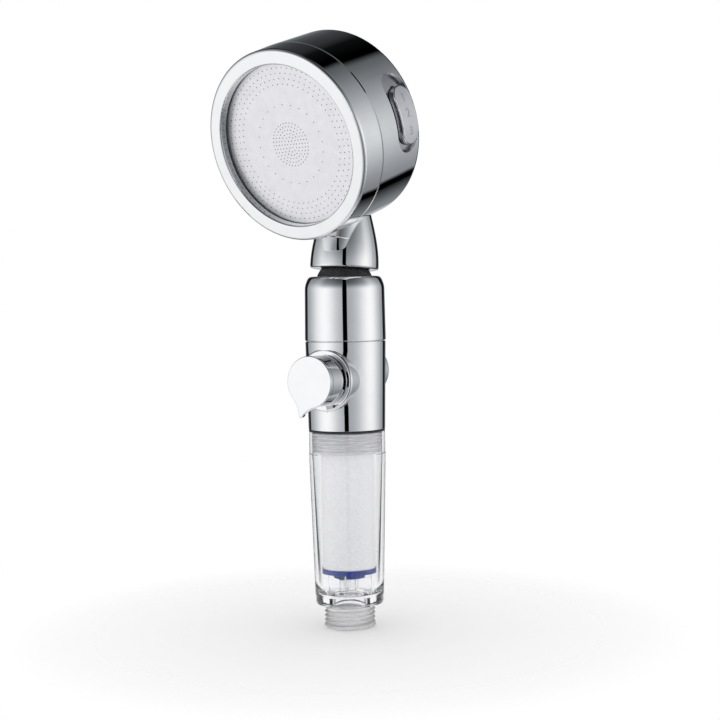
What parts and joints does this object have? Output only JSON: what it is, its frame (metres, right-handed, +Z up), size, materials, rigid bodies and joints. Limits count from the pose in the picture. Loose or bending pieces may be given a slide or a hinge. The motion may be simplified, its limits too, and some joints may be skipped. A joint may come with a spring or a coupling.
{
  "type": "handheld shower head",
  "caption": "Handheld shower head with a round spray drum on a ball joint, a side mode slider, a flow knob and a clear filter handle.",
  "frame": {"origin": "centre of the hose inlet's end face, on the handle's axis", "axes": "+Z up the handle towards the spray head, -Y out of the flow knob, +X towards the mode slider's side"},
  "size_m": [0.0802, 0.0656, 0.2414],
  "materials": {
    "chrome_plating": "polished",
    "clear_plastic": "gloss",
    "pale_plastic": "satin",
    "white_plastic": "satin",
    "black_plastic": "satin",
    "blue_plastic": "gloss",
    "filter_fibre": "matte",
    "black_rubber": "matte",
    "face_steel": "satin",
    "stainless_steel": "polished"
  },
  "bodies": {
    "handle": {"filter_tube": "clear_plastic", "tube_gasket": "black_rubber", "filter_element": "filter_fibre", "filter_cap_lower": "blue_plastic", "filter_cap_upper": "blue_plastic", "filter_gasket": "black_rubber", "valve_core": "pale_plastic", "valve_sleeve": "chrome_plating", "valve_seal": "black_rubber", "rear_cap": "chrome_plating", "collar": "chrome_plating"},
    "flow_knob": {"knob": "chrome_plating", "spindle": "white_plastic", "spindle_oring_front": "black_rubber", "spindle_oring_rear": "black_rubber", "retaining_washer": "stainless_steel", "retaining_screw": "stainless_steel"},
    "seat": {"ball_seat": "white_plastic", "ball_seal": "black_rubber", "seat_oring": "black_rubber"},
    "ball": {"swivel_ball": "black_plastic", "stem_oring": "black_rubber", "stem_clip": "stainless_steel"},
    "head": {"head_housing": "chrome_plating", "bezel_ring": "chrome_plating", "face_gasket": "black_rubber", "face_plate": "face_steel", "distributor": "white_plastic", "distributor_oring": "black_rubber", "port_plate": "white_plastic", "port_plate_screws": "stainless_steel", "chamber_cover": "white_plastic", "cover_oring": "black_rubber", "cover_screws": "stainless_steel", "inlet_oring": "black_rubber"},
    "mode_selector": {"selector_disc": "white_plastic", "port_seals": "black_rubber", "selector_shaft": "white_plastic", "shaft_oring": "black_rubber", "selector_arm": "white_plastic", "arm_screw": "stainless_steel", "mode_slider": "chrome_plating", "detent_ball": "stainless_steel", "detent_spring": "stainless_steel"}
  },
  "joints": [
    {"name": "knob_turn", "type": "hinge", "parent": "handle", "child": "flow_knob", "pos_m": [0, 0, 0.1022], "axis": [0, 1, 0], "range_deg": [-18, 72]},
    {"name": "seat_turn", "type": "hinge", "parent": "handle", "child": "seat", "pos_m": [0, 0, 0.1395], "axis": [0, 0, 1], "continuous": true},
    {"name": "head_tilt", "type": "hinge", "parent": "seat", "child": "ball", "pos_m": [0, 0, 0.1395], "axis": [0.9951, -0.0993, 0], "range_deg": [-7, 17]},
    {"name": "head_swivel", "type": "hinge", "parent": "ball", "child": "head", "pos_m": [0, 0, 0.1395], "axis": [0.0087, 0.0867, 0.9962], "continuous": true},
    {"name": "mode_select", "type": "hinge", "parent": "head", "child": "mode_selector", "pos_m": [-0.0036, -0.0361, 0.1938], "axis": [-0.0945, -0.9464, -0.309], "range_deg": [0, 8.4]}
  ]
}
